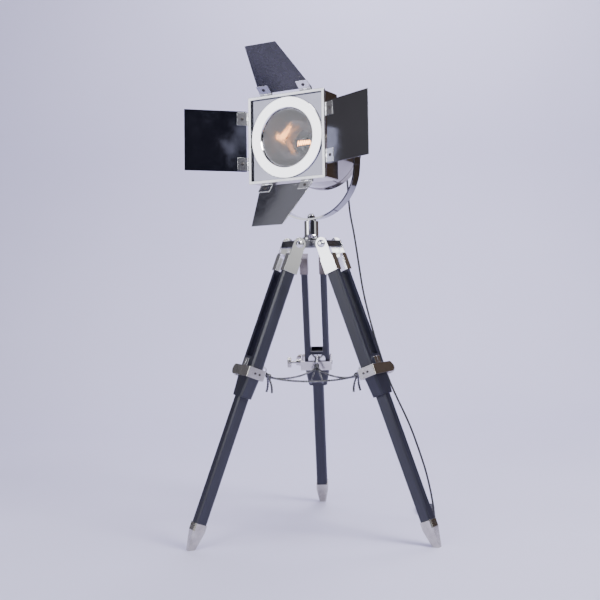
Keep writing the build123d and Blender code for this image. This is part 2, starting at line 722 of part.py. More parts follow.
def door_leaves():
    """Two hinge leaves on the sheet's inner face, each with its middle knuckle and a screw."""
    leaves = []
    for middle in (-hinge_half_pitch, hinge_half_pitch):
        a = middle - third / 2 + knuckle_gap
        b = middle + third / 2 - knuckle_gap
        face = -sheet_thickness / 2
        start = knuckle_radius + knuckle_gap
        leaf = block((start, leaf_reach), (face - leaf_thickness, face), (middle - 15, middle + 15))
        leaf += block((0, start + 1), (face - leaf_thickness, face), (a, b))
        leaf += rod(knuckle_radius, (0, 0, a), (0, 0, b))
        leaf -= rod(pin_radius + running_clearance, (0, 0, a - 1), (0, 0, b + 1))
        x = (start + leaf_reach) / 2
        screw = rod(3.0, (x, face - leaf_thickness + 0.1, middle), (x, face - leaf_thickness - 1.2, middle))
        leaves.append(leaf + screw)
    return leaves


for name in door_specs:
    write(f"door_{name}", door_place(name) * door_sheet(name))
    write(f"door_{name}_leaves", *[door_place(name) * leaf for leaf in door_leaves()])


# ---------------------------------------------------------------- cords

def route_path(points):
    """Straight runs joined by arcs as large as the two runs beside each corner allow."""
    corners = [Vector(*p) for p in points]
    radii = []
    for before, corner, after in zip(corners, corners[1:], corners[2:]):
        turn = (corner - before).get_angle(after - corner)
        shorter = min((corner - before).length, (after - corner).length)
        radii.append(0.45 * shorter / tan(radians(turn) / 2))
    return FilletPolyline(*corners, radius=radii), radii


def tube(points, radius, name):
    """A round cord along a route."""
    path, radii = route_path(points)
    start = Plane(origin=path @ 0, z_dir=path % 0)
    body = sweep(start * Circle(radius), path=path)
    length = path.length
    expected = 3.141592653589793 * radius ** 2 * length
    print(name, "length", round(length, 1), "volume ratio", round(body.volume / expected, 4),
          "radii", [round(r) for r in radii])
    return body


def eye_centre(azimuth, inwards=0.0, down=0.0):
    return leg_place(azimuth).from_local_coords(Vector(-eye_reach - inwards, 0, -eye_drop - down))


def spreader(first, second):
    """A cord that hangs from the inner eye of one leg to that of the next."""
    knot_a = eye_centre(leg_azimuths[first], 12.0, 14.0)
    knot_b = eye_centre(leg_azimuths[second], 12.0, 14.0)
    across = (knot_b - knot_a).normalized()
    inset = 6.0
    start = eye_centre(leg_azimuths[first]) + across * spreader_side - Vector(0, 0, spreader_drop)
    end = eye_centre(leg_azimuths[second]) - across * spreader_side - Vector(0, 0, spreader_drop)
    span = (knot_b - knot_a).length
    points = [start, knot_a + across * inset]
    for fraction in (0.25, 0.5, 0.75):
        fall = spreader_sag * (1 - (2 * fraction - 1) ** 2)
        points.append(knot_a + across * (span * fraction) - Vector(0, 0, fall))
    points += [knot_b - across * inset, end]
    return tube([tuple(p) for p in points], spreader_radius, f"spreader {first}-{second}")


write("spreader_front", spreader("left", "right"))
write("spreader_left", spreader("left", "rear"))
write("spreader_right", spreader("right", "rear"))

exit_local = Vector(gland_side, front + drum_end + 2 + gland_length, -gland_drop)
exit_plane = Plane(head_place)
cord_exit = exit_plane.from_local_coords(exit_local)
exit_ahead = exit_plane.from_local_coords(exit_local + Vector(0, 16, 0))
cord_join = Vector(86.6, 118.5, 778)
floor_level = cord_radius + floor_clearance
lead_route = [tuple(cord_exit), tuple(exit_ahead), (82, 114, 850), (83.8, 118.5, 826), tuple(cord_join)]
after_join = Vector(*lead_route[-1]) + (Vector(*lead_route[-1]) - Vector(*lead_route[-2])).normalized() * 26
hank_x, hank_y = hank_place
drop_route = [
    tuple(cord_join), tuple(after_join), (97, 112, 706), (104, 104, 657), (110.5, 96, 608), (117.5, 88, 560),
    (127.5, 80, 513), (140, 70, 463), (154, 60, 415), (167, 50, 373), (181, 42, 335), (196, 34, 301),
    (212.5, 27.5, 266), (228, 24, 229), (244, 27, 181), (259, 34, 133), (270, 43, 84), (277, 52, 42),
    (279.5, 66, 13), (281, 88, floor_level), (hank_x + hank_turn, 109, floor_level),
    (hank_x + hank_turn, hank_y, floor_level)]
write("cord_lead", tube(lead_route, cord_radius, "cord lead"))
write("cord_drop", tube(drop_route, cord_radius, "cord drop"))

hank = block((hank_x - hank_box[0] / 2, hank_x + hank_box[0] / 2), (hank_y, hank_y + hank_box[1]),
             (0, hank_box[2]))
hank = fillet(hank.edges().filter_by(Axis.Y), 4.0)
write("cord_hank", hank)


def plug():
    """A two-pin plug lying on the floor, its tapered relief against the hank."""
    start = hank_y + hank_box[1]
    middle = plug_size[2] / 2
    body_start = start + plug_relief
    body = block((hank_x - plug_size[0] / 2, hank_x + plug_size[0] / 2),
                 (body_start, body_start + plug_size[1]), (0, plug_size[2]))
    body = fillet(body.edges().filter_by(Axis.Y), 3.0)
    wide = Plane(origin=(hank_x, body_start, middle), z_dir=(0, 1, 0)) * Circle(6.0)
    narrow = Plane(origin=(hank_x, start, plug_entry_height), z_dir=(0, 1, 0)) * Circle(3.4)
    body += loft([wide, narrow])
    face = body_start + plug_size[1]
    for side in (-1, 1):
        x = hank_x + side * plug_pin_pitch / 2
        body += block((x - 0.75, x + 0.75), (face - 1, face + plug_pin_length), (middle - 3.2, middle + 3.2))
    return body


write("plug", plug())
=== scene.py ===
"""Tripod spotlight lamp: wires, flex, filament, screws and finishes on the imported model.

Everything is in metres. The origin is on the floor under the stem, +Z is up and the rear leg lies along +Y.
"""
import math

import bmesh
import bpy
from bpy.props import FloatProperty, FloatVectorProperty, IntProperty, PointerProperty
from mathutils import Matrix, Vector


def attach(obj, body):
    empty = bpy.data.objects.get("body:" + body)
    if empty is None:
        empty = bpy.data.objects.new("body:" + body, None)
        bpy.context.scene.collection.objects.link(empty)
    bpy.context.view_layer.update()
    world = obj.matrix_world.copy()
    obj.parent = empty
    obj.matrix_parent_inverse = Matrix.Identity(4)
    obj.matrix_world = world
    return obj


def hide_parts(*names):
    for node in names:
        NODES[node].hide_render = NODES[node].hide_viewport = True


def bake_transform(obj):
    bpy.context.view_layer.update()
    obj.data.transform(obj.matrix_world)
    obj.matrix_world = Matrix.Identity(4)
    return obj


bl_info = {
    "name": "Tripod spotlight lamp",
    "version": (1, 0, 0),
    "blender": (4, 5, 0),
    "location": "View3D > Sidebar > Lamp",
    "description": "Builds the flex, wires, screws and finishes of a barn-door tripod lamp",
    "category": "Add Mesh",
}

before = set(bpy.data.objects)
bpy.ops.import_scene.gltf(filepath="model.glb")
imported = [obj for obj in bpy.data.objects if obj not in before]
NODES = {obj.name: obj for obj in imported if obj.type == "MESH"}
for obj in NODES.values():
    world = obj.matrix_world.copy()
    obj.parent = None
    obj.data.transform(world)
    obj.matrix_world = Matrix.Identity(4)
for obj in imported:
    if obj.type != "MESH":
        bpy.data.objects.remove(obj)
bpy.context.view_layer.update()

LEG_AZIMUTHS = {"left": 210.0, "right": 330.0, "rear": 90.0}
PIVOT_RADIUS = 0.047
PIVOT_HEIGHT = 0.673
LEG_ANGLE = math.atan2(0.267, 0.673)
TILT_HEIGHT = 0.907
HEAD_PAN = math.radians(-27.0)
HEAD_TILT = math.radians(3.4)
HEAD_ROLL = math.radians(1.7)
ROLL_HEIGHT = 0.854
HEAD_FRONT = 0.1045
DOOR_TURNS = {"right": 0.0, "top": 90.0, "left": 180.0, "bottom": 270.0}
DOOR_OPENED = {"top": 51.5, "bottom": 39.7, "left": 44.0, "right": 23.5}
PIN_LINE = 0.1034
PIN_DEPTH = -0.1015
SCREW_SEAT = -0.0015
FLEX_FLOOR = 0.0025
HANK_MIDDLE = 0.264
HANK_FRONT = 0.154
HANK_REAR = 0.204
HANK_OUTER = 0.0193
HANK_INNER = 0.0144
HANK_LAYERS = (0.0025, 0.0075, 0.0126)


# ---------------------------------------------------------------- places

def leg_place(side):
    """The leg's own frame at its pivot: X outwards, Y across, Z up the leg."""
    a = math.radians(LEG_AZIMUTHS[side])
    tilt = Matrix.Rotation(-LEG_ANGLE, 4, "Y")
    origin = Matrix.Translation((PIVOT_RADIUS * math.cos(a), PIVOT_RADIUS * math.sin(a), PIVOT_HEIGHT))
    return origin @ Matrix.Rotation(a, 4, "Z") @ tilt


def head_place():
    """The head's frame on its tilt axis: X to its right, Y backwards, Z up."""
    roll = Matrix.Translation((0, 0, ROLL_HEIGHT)) @ Matrix.Rotation(-HEAD_ROLL, 4, "Y")
    rise = Matrix.Translation((0, 0, TILT_HEIGHT - ROLL_HEIGHT)) @ Matrix.Rotation(-HEAD_TILT, 4, "X")
    return Matrix.Rotation(HEAD_PAN, 4, "Z") @ roll @ rise


def door_place(door):
    """A door's frame on its hinge pin: X towards its free edge, Z along the pin."""
    turn = Matrix.Rotation(-math.radians(DOOR_TURNS[door]), 4, "Y")
    pin = Matrix.Translation((PIN_LINE, PIN_DEPTH, 0))
    opened = Matrix.Rotation(-math.radians(DOOR_OPENED[door]), 4, "Z")
    return head_place() @ turn @ pin @ opened


# ---------------------------------------------------------------- mesh making

def spline_line(route, steps=10):
    """Points along one smooth open spline through the route, read from Blender's own curve."""
    curve = bpy.data.curves.new("route", "CURVE")
    curve.dimensions = "3D"
    curve.resolution_u = steps
    spline = curve.splines.new("NURBS")
    spline.points.add(len(route) - 1)
    for point, place in zip(spline.points, route):
        point.co = (*place, 1)
    spline.order_u = 3
    spline.use_endpoint_u = True
    carrier = bpy.data.objects.new("route", curve)
    bpy.context.scene.collection.objects.link(carrier)
    bpy.context.view_layer.update()
    mesh = bpy.data.meshes.new_from_object(carrier)
    line = [v.co.copy() for v in mesh.vertices]
    bpy.data.objects.remove(carrier)
    bpy.data.curves.remove(curve)
    bpy.data.meshes.remove(mesh)
    return line


def frames_along(line):
    """A side vector and an up vector at each point of a line, turned as little as possible."""
    frames = []
    side = None
    for i, here in enumerate(line):
        ahead = line[min(i + 1, len(line) - 1)] - line[max(i - 1, 0)]
        ahead.normalize()
        if side is None:
            side = ahead.orthogonal().normalized()
        side = (side - ahead * side.dot(ahead)).normalized()
        frames.append((here, ahead, side, ahead.cross(side)))
    return frames


def sweep(bm, line, radius, sides=10, taper=None):
    """A round tube along a line, closed at both ends. taper gives the radius at each point."""
    rings = []
    for i, (here, ahead, side, up) in enumerate(frames_along(line)):
        r = radius if taper is None else taper[i]
        turns = [2 * math.pi * k / sides for k in range(sides)]
        rings.append([bm.verts.new(here + side * r * math.cos(t) + up * r * math.sin(t)) for t in turns])
    for a, b in zip(rings, rings[1:]):
        for k in range(sides):
            bm.faces.new((a[k], a[(k + 1) % sides], b[(k + 1) % sides], b[k]))
    bm.faces.new(list(reversed(rings[0])))
    bm.faces.new(rings[-1])


def strands(bm, line, coil_radius, strand_radius, pitch, count=2, sides=6):
    """Strands laid round a line like a twisted cord."""
    frames = frames_along(line)
    run = [0.0]
    for a, b in zip(line, line[1:]):
        run.append(run[-1] + (b - a).length)
    for n in range(count):
        path = []
        for (here, ahead, side, up), s in zip(frames, run):
            t = 2 * math.pi * (s / pitch + n / count)
            path.append(here + side * coil_radius * math.cos(t) + up * coil_radius * math.sin(t))
        sweep(bm, path, strand_radius, sides)


def spun(bm, profile, place, sides=32):
    """A solid of revolution about the place's Z axis, from (radius, height) points."""
    rings = []
    for r, h in profile:
        turns = [2 * math.pi * k / sides for k in range(sides)]
        rings.append([bm.verts.new(place @ Vector((r * math.cos(t), r * math.sin(t), h))) for t in turns])
    for a, b in zip(rings, rings[1:]):
        for k in range(sides):
            bm.faces.new((a[k], a[(k + 1) % sides], b[(k + 1) % sides], b[k]))
    bm.faces.new(list(reversed(rings[0])))
    bm.faces.new(rings[-1])


def finished(name, bm, finish, smooth=True):
    """Turn a bmesh into an object of the scene with its finish."""
    bmesh.ops.recalc_face_normals(bm, faces=bm.faces)
    mesh = bpy.data.meshes.new(name)
    bm.to_mesh(mesh)
    bm.free()
    for face in mesh.polygons:
        face.use_smooth = smooth
    mesh.materials.append(finish)
    piece = bpy.data.objects.new(name, mesh)
    bpy.context.scene.collection.objects.link(piece)
    return piece


def resampled(line, step):
    """The same line with points a fixed step apart."""
    out = [line[0].copy()]
    left = step
    for a, b in zip(line, line[1:]):
        span = (b - a).length
        done = 0.0
        while span - done >= left:
            done += left
            out.append(a.lerp(b, done / span))
            left = step
        left -= span - done
    if (out[-1] - line[-1]).length > step * 0.3:
        out.append(line[-1].copy())
    return out


# ---------------------------------------------------------------- finishes

def new_finish(name):
    """An empty node material with its surface shader."""
    finish = bpy.data.materials.new(name)
    finish.use_nodes = True
    tree = finish.node_tree
    return finish, tree, tree.nodes["Principled BSDF"]


def surface_noise(tree, scale, detail=4.0, stretch=(1, 1, 1), turn=(0, 0, 0), rough=0.5):
    """Noise in the object's own space, stretched and turned."""
    where = tree.nodes.new("ShaderNodeTexCoord")
    mapping = tree.nodes.new("ShaderNodeMapping")
    mapping.vector_type = "TEXTURE"
    mapping.inputs["Rotation"].default_value = turn
    mapping.inputs["Scale"].default_value = stretch
    noise = tree.nodes.new("ShaderNodeTexNoise")
    noise.inputs["Scale"].default_value = scale
    noise.inputs["Detail"].default_value = detail
    noise.inputs["Roughness"].default_value = rough
    tree.links.new(where.outputs["Object"], mapping.inputs["Vector"])
    tree.links.new(mapping.outputs["Vector"], noise.inputs["Vector"])
    return noise.outputs["Fac"]


def spread(tree, source, low, high, target):
    """Map a 0.3 to 0.7 noise onto a range and feed a socket."""
    rng = tree.nodes.new("ShaderNodeMapRange")
    rng.inputs["From Min"].default_value = 0.3
    rng.inputs["From Max"].default_value = 0.7
    rng.inputs["To Min"].default_value = low
    rng.inputs["To Max"].default_value = high
    tree.links.new(source, rng.inputs["Value"])
    tree.links.new(rng.outputs["Result"], target)


def shades(tree, source, dark, light, target, low=0.3, high=0.7):
    """Blend two colours by a noise."""
    ramp = tree.nodes.new("ShaderNodeValToRGB")
    ramp.color_ramp.elements[0].position = low
    ramp.color_ramp.elements[1].position = high
    ramp.color_ramp.elements[0].color = (*dark, 1)
    ramp.color_ramp.elements[1].color = (*light, 1)
    tree.links.new(source, ramp.inputs["Fac"])
    tree.links.new(ramp.outputs["Color"], target)


def relief(tree, shader, source, distance, strength=0.3, edge=0.0):
    """Raise the surface a little by a noise, over edges rounded by the edge radius."""
    bump = tree.nodes.new("ShaderNodeBump")
    if edge:
        rounded = tree.nodes.new("ShaderNodeBevel")
        rounded.inputs["Radius"].default_value = edge
        tree.links.new(rounded.outputs["Normal"], bump.inputs["Normal"])
    bump.inputs["Distance"].default_value = distance
    bump.inputs["Strength"].default_value = strength
    tree.links.new(source, bump.inputs["Height"])
    tree.links.new(bump.outputs["Normal"], shader.inputs["Normal"])


def plated(name, dark, light, low, high, scale=60.0, wave=0.00002, edge=0.0006, detail=4.0):
    """A plated metal: colour and gloss drift a little, and the surface ripples by the wave's height."""
    finish, tree, shader = new_finish(name)
    shader.inputs["Metallic"].default_value = 1.0
    cloud = surface_noise(tree, scale * 0.25, 3.0)
    marks = surface_noise(tree, scale * 8, 3.0)
    shades(tree, cloud, dark, light, shader.inputs["Base Color"])
    spread(tree, marks, low, high, shader.inputs["Roughness"])
    relief(tree, shader, surface_noise(tree, scale, detail), wave, 0.25, edge)
    return finish


def lacquered_wood(name, side):
    """Black lacquer over straight grain that runs down the leg."""
    finish, tree, shader = new_finish(name)
    turn = leg_place(side).to_euler()
    grain = surface_noise(tree, 120.0, 6.0, (1, 1, 14), tuple(turn), 0.6)
    pores = surface_noise(tree, 420.0, 3.0, (1, 1, 30), tuple(turn), 0.55)
    settings = bpy.context.scene.lamp
    base = settings.lacquer_colour
    dark = tuple(c * 0.75 for c in base)
    light = tuple(c * 1.35 for c in base)
    shades(tree, grain, dark, light, shader.inputs["Base Color"])
    spread(tree, grain, 0.30, 0.46, shader.inputs["Roughness"])
    shader.inputs["Coat Weight"].default_value = 0.15
    shader.inputs["Coat Roughness"].default_value = 0.22
    relief(tree, shader, pores, 0.00012, 0.35)
    return finish


def clear_glass(name, tint, low, high, wave=0.00004):
    """Clear glass with faint smears."""
    finish, tree, shader = new_finish(name)
    shader.inputs["Transmission Weight"].default_value = 1.0
    shader.inputs["IOR"].default_value = 1.48
    cloud = surface_noise(tree, 18.0, 3.0)
    shades(tree, cloud, tuple(c * 0.97 for c in tint), tint, shader.inputs["Base Color"])
    spread(tree, surface_noise(tree, 90.0, 4.0), low, high, shader.inputs["Roughness"])
    relief(tree, shader, surface_noise(tree, 12.0, 2.0), wave, 0.2)
    return finish


def moulded(name, dark, light, low, high, scale=900.0, depth=0.00005):
    """A moulded surface with a fine even texture."""
    finish, tree, shader = new_finish(name)
    shades(tree, surface_noise(tree, 25.0, 3.0), dark, light, shader.inputs["Base Color"])
    spread(tree, surface_noise(tree, 60.0, 4.0), low, high, shader.inputs["Roughness"])
    relief(tree, shader, surface_noise(tree, scale, 2.0), depth, 0.4)
    return finish


def glowing(name, colour, strength):
    """A hot filament, its glow colour drifting a little by noise."""
    finish, tree, shader = new_finish(name)
    heat = surface_noise(tree, 300.0, 2.0)
    shades(tree, heat, tuple(c * 0.8 for c in colour), colour, shader.inputs["Emission Color"])
    shader.inputs["Emission Strength"].default_value = strength
    shades(tree, heat, (0.2, 0.1, 0.05), (0.3, 0.2, 0.1), shader.inputs["Base Color"])
    return finish


FINISHES = {}

# Each recipe is the maker and its values after the name: dark and light shade, gloss range, and then the
# noise scale, wave height, edge radius and noise detail where they differ from the usual.
FINISH_RECIPES = {
    "chrome": (plated, (0.72, 0.72, 0.74), (0.84, 0.84, 0.86), 0.04, 0.11),
    "strap_chrome": (plated, (0.91, 0.91, 0.92), (0.97, 0.97, 0.97), 0.06, 0.15),
    "frame_chrome": (plated, (0.42, 0.42, 0.44), (0.56, 0.56, 0.58), 0.06, 0.12, 60.0, 0.00002, 0.0015),
    # The face plate is chrome; its dark, lavender-tinted colour is a painted reflection of the backdrop.
    "plate_chrome_painted_reflection": (plated, (0.20, 0.20, 0.245), (0.25, 0.25, 0.30), 0.10, 0.20, 40.0),
    # The four door panels are one and the same chrome: their four shades below are painted shade, with a
    # painted bluish reflection on the left door.
    "door_painted_light_shade": (plated, (0.28, 0.28, 0.30), (0.38, 0.38, 0.41),
        0.06, 0.12, 12.0, 0.0040, 0.0006, 1.0),
    "door_painted_mid_shade": (plated, (0.50, 0.50, 0.53), (0.62, 0.62, 0.65), 0.12, 0.22, 8.0, 0.0012, 0.0006, 1.0),
    "door_painted_dark_shade": (plated, (0.085, 0.085, 0.09), (0.12, 0.12, 0.125), 0.20, 0.34, 10.0, 0.0006),
    "door_painted_navy_shade": (plated, (0.20, 0.21, 0.29), (0.30, 0.31, 0.40),
        0.05, 0.10, 14.0, 0.0045, 0.0006, 1.0),
    "case_chrome": (plated, (0.32, 0.30, 0.29), (0.46, 0.44, 0.43), 0.06, 0.14, 30.0, 0.0002),
    "case_smoked": (plated, (0.30, 0.27, 0.25), (0.42, 0.38, 0.36), 0.10, 0.22, 25.0),
    "yoke_chrome": (plated, (0.24, 0.24, 0.25), (0.36, 0.36, 0.38), 0.06, 0.14, 30.0, 0.0001, 0.0012),
    "cast_chrome": (plated, (0.16, 0.16, 0.18), (0.30, 0.30, 0.32), 0.18, 0.36, 140.0, 0.00012),
    # The rear leg's fork is the same part as the front forks; its dark brownish colour is painted shade.
    "rear_fork_painted_shade": (plated, (0.13, 0.115, 0.10), (0.24, 0.215, 0.20), 0.18, 0.34, 120.0),
    "satin_nickel": (plated, (0.56, 0.54, 0.52), (0.74, 0.72, 0.69), 0.12, 0.24, 160.0, 0.00005),
    "ferrule_nickel": (plated, (0.44, 0.42, 0.38), (0.62, 0.60, 0.55), 0.14, 0.28, 200.0, 0.00006),
    "bright_wire": (plated, (0.05, 0.05, 0.055), (0.24, 0.24, 0.25), 0.16, 0.30, 300.0),
    "screw_steel": (plated, (0.05, 0.05, 0.05), (0.11, 0.10, 0.10), 0.22, 0.40, 300.0),
    "spun_reflector": (plated, (0.34, 0.32, 0.33), (0.60, 0.58, 0.59), 0.10, 0.22, 30.0, 0.0030),
    "lamp_brass": (plated, (0.60, 0.45, 0.20), (0.78, 0.62, 0.32), 0.18, 0.34, 200.0),
    "lens_glass": (clear_glass, (0.70, 0.71, 0.75), 0.0, 0.008),
    "bulb_glass": (clear_glass, (0.97, 0.97, 0.96), 0.0, 0.004),
    "flex_rubber": (moulded, (0.010, 0.010, 0.012), (0.022, 0.022, 0.026), 0.42, 0.62),
    "plug_black": (moulded, (0.012, 0.012, 0.013), (0.028, 0.028, 0.030), 0.34, 0.52),
    "porcelain": (moulded, (0.74, 0.71, 0.65), (0.86, 0.84, 0.79), 0.18, 0.30, 200.0, 0.00002),
    "filament": (glowing, (1.0, 0.42, 0.12), 20.0),
}
for leg in LEG_AZIMUTHS:
    FINISH_RECIPES[f"lacquer_{leg}"] = (lacquered_wood, leg)


def finish(name):
    """The finish of that name, made on first use."""
    if name not in FINISHES:
        maker, *values = FINISH_RECIPES[name]
        FINISHES[name] = maker(name, *values)
    return FINISHES[name]


NODE_FINISHES = {
    "hub": "cast_chrome", "leg_pivot_bolts": "chrome", "stem": "chrome", "pan_bolt": "chrome",
    "yoke": "yoke_chrome", "tilt_knob_left": "satin_nickel", "tilt_knob_right": "satin_nickel",
    "door_frame": "frame_chrome", "hinge_pins": "screw_steel", "front_box": "case_smoked",
    "rear_drum": "case_chrome", "back_cover": "case_chrome", "cord_gland": "plug_black",
    "face_plate": "plate_chrome_painted_reflection", "lens_ring": "strap_chrome", "lens_glass": "lens_glass",
    "reflector": "spun_reflector", "bulb": "bulb_glass", "bulb_base": "lamp_brass",
    "lamp_holder": "porcelain", "tilt_bosses": "chrome", "plug": "plug_black",
}


# ---------------------------------------------------------------- settings

class LampSettings(bpy.types.PropertyGroup):
    """Sizes and colours that a user may change."""

    flex_diameter: FloatProperty(
        name="Flex diameter", description="Outside diameter of the mains flex", default=0.0048,
        min=0.002, max=0.010,
        unit="LENGTH")
    flex_length: FloatProperty(
        name="Flex length", description="Length of the mains flex, hank included", default=1.894,
        min=1.0, max=5.0,
        unit="LENGTH")
    wire_diameter: FloatProperty(
        name="Spreader wire diameter", description="Diameter of the twisted wire between the legs",
        default=0.0050,
        min=0.001, max=0.006, unit="LENGTH")
    tail_length: FloatProperty(
        name="Wire tail", description="Length of the wire's free end at each eye", default=0.036, min=0.005,
        max=0.06, unit="LENGTH")
    filament_folds: IntProperty(
        name="Filament folds", description="Number of zigzags in the filament", default=7, min=3, max=15)
    lacquer_colour: FloatVectorProperty(
        name="Lacquer", description="Colour of the lacquered wood", default=(0.011, 0.012, 0.024), size=3,
        subtype="COLOR", min=0, max=1)
    floor_colour: FloatVectorProperty(
        name="Floor", description="Colour of the studio floor and wall", default=(0.63, 0.61, 0.84), size=3,
        subtype="COLOR", min=0, max=1)


# ---------------------------------------------------------------- camera and stage

class LAMP_OT_stage(bpy.types.Operator):
    """Make the camera, the pale floor and wall, and the soft lights"""

    bl_idname = "lamp.stage"
    bl_label = "Studio"

    def execute(self, context):
        scene = context.scene
        yaw, pitch, roll = -0.0192, -0.0159, -0.0183
        ahead = Vector((math.sin(yaw) * math.cos(pitch), math.cos(yaw) * math.cos(pitch), math.sin(pitch)))
        right = ahead.cross(Vector((0, 0, 1))).normalized()
        up = right.cross(ahead)
        level = Matrix((right, up, -ahead)).transposed()
        lens = bpy.data.cameras.new("camera")
        lens.lens = 63.0
        lens.sensor_width = 36.0
        lens.shift_x = -50 / 600
        lens.shift_y = -16 / 600
        lens.clip_end = 50.0
        camera = bpy.data.objects.new("camera", lens)
        camera.matrix_world = (Matrix.Translation((0.13517, -2.45718, 0.61723))
                               @ level.to_4x4() @ Matrix.Rotation(roll, 4, "Z"))
        scene.collection.objects.link(camera)
        scene.camera = camera
        self.floor(scene)
        self.lights(scene)
        return {"FINISHED"}

    def floor(self, scene):
        """A wide floor that narrows to a paper sweep behind, curved up into the wall."""
        bm = bmesh.new()
        bend = [math.pi * k / 32 for k in range(1, 17)]
        profile = [(-6.0, 0.0, 7.0), (1.2, 0.0, 7.0), (1.25, 0.0, 2.1), (1.6, 0.0, 2.1)]
        profile += [(1.6 + 1.2 * math.sin(t), 1.2 - 1.2 * math.cos(t), 2.1) for t in bend]
        profile += [(2.8, 4.0, 2.1)]
        rows = [[bm.verts.new((x, y, z)) for x in (-half, half)] for y, z, half in profile]
        for a, b in zip(rows, rows[1:]):
            bm.faces.new((a[0], a[1], b[1], b[0]))
        paint, tree, shader = new_finish("studio_paper")
        base = scene.lamp.floor_colour
        dark = tuple(c * 0.98 for c in base)
        light = tuple(c * 1.01 for c in base)
        shades(tree, surface_noise(tree, 1.5, 2.0), dark, light,
               shader.inputs["Base Color"])
        spread(tree, surface_noise(tree, 40.0, 3.0), 0.75, 0.85, shader.inputs["Roughness"])
        shader.inputs["Specular IOR Level"].default_value = 0.2
        finished("studio_floor", bm, paint)

    def lights(self, scene):
        """A key softbox on the right, a bounce on the left, a top light, and a sky that they sit in."""
        softboxes = [
            ("key_softbox", (2.1, -1.5, 2.4), 1.2, 100.0, (1.0, 0.99, 0.97)),
            ("left_softbox", (-1.4, -2.8, 2.1), 1.2, 38.0, (0.96, 0.97, 1.0)),
            ("top_softbox", (0.3, -0.3, 3.1), 1.4, 42.0, (0.97, 0.98, 1.0)),
            ("wall_wash", (0.4, 1.5, 3.2), 1.3, 70.0, (0.96, 0.95, 1.0)),
        ]
        aims = {"wall_wash": (0.0, 2.8, 0.8)}
        for name, place, size, power, colour in softboxes:
            light = bpy.data.lights.new(name, "AREA")
            light.shape = "SQUARE"
            light.size = size
            light.energy = power
            light.color = colour
            lamp = bpy.data.objects.new(name, light)
            lamp.location = place
            aim = Vector(aims.get(name, (0, 0, 0.6))) - Vector(place)
            lamp.rotation_euler = aim.to_track_quat("-Z", "Y").to_euler()
            scene.collection.objects.link(lamp)
        self.sky(scene)

    def sky(self, scene):
        """A grey room, bright at the left front, dark brown at the right back."""
        world = bpy.data.worlds.new("studio_room")
        scene.world = world
        world.use_nodes = True
        tree = world.node_tree
        back = tree.nodes["Background"]
        back.inputs["Strength"].default_value = 1.0
        where = tree.nodes.new("ShaderNodeTexCoord")
        colour = None
        lobes = [
            ((-0.83, -0.51, 0.22), 0.925, 0.975, (3.4, 3.4, 3.6)),
            ((0.86, -0.40, 0.32), 0.90, 0.97, (1.0, 1.0, 1.0)),
            ((0.25, -0.10, 0.97), 0.84, 0.97, (0.80, 0.82, 0.90)),
            ((-0.48, 0.27, 0.84), 0.90, 0.99, (0.30, 0.30, 0.34)),
            ((0.35, -0.92, 0.12), 0.80, 0.94, (0.03, 0.03, 0.04)),
            ((0.54, -0.80, 0.26), 0.993, 0.998, (0.9, 0.9, 1.0)),
            ((0.80, 0.58, 0.10), 0.70, 0.98, (0.10, 0.075, 0.065)),
        ]
        for axis, start, end, shade in lobes:
            dot = tree.nodes.new("ShaderNodeVectorMath")
            dot.operation = "DOT_PRODUCT"
            dot.inputs[1].default_value = Vector(axis).normalized()
            tree.links.new(where.outputs["Generated"], dot.inputs[0])
            edge = tree.nodes.new("ShaderNodeMapRange")
            edge.interpolation_type = "SMOOTHSTEP"
            edge.inputs["From Min"].default_value = start
            edge.inputs["From Max"].default_value = end
            tree.links.new(dot.outputs["Value"], edge.inputs["Value"])
            mix = tree.nodes.new("ShaderNodeMix")
            mix.data_type = "RGBA"
            mix.inputs["A"].default_value = (0.15, 0.145, 0.16, 1)
            mix.inputs["B"].default_value = (*shade, 1)
            tree.links.new(edge.outputs["Result"], mix.inputs["Factor"])
            if colour is not None:
                tree.links.new(colour, mix.inputs["A"])
            colour = mix.outputs["Result"]
        tree.links.new(colour, back.inputs["Color"])


# ---------------------------------------------------------------- flex, hank and plug

GLAND_END = head_place() @ Vector((0.022, 0.1085, -0.040))
GLAND_AHEAD = head_place() @ Vector((0.022, 0.1245, -0.040))
LEAD_ROUTE = [tuple(GLAND_END), tuple(GLAND_AHEAD), (0.082, 0.114, 0.850), (0.0838, 0.1185, 0.826),
              (0.0866, 0.1185, 0.778)]
DROP_ROUTE = [
    (0.0866, 0.1185, 0.778), (0.08811, 0.1185, 0.75204), (0.097, 0.112, 0.706), (0.104, 0.104, 0.657),
    (0.1105, 0.096, 0.608), (0.1175, 0.088, 0.560), (0.1275, 0.080, 0.513), (0.140, 0.070, 0.463),
    (0.154, 0.060, 0.415), (0.167, 0.050, 0.373), (0.181, 0.042, 0.335), (0.196, 0.034, 0.301),
    (0.2125, 0.0275, 0.266), (0.228, 0.024, 0.229), (0.244, 0.027, 0.181), (0.259, 0.034, 0.133),
    (0.270, 0.043, 0.084), (0.277, 0.052, 0.042), (0.2795, 0.066, 0.013), (0.281, 0.088, FLEX_FLOOR),
    (0.283, 0.109, FLEX_FLOOR), (0.283, 0.132, FLEX_FLOOR)]


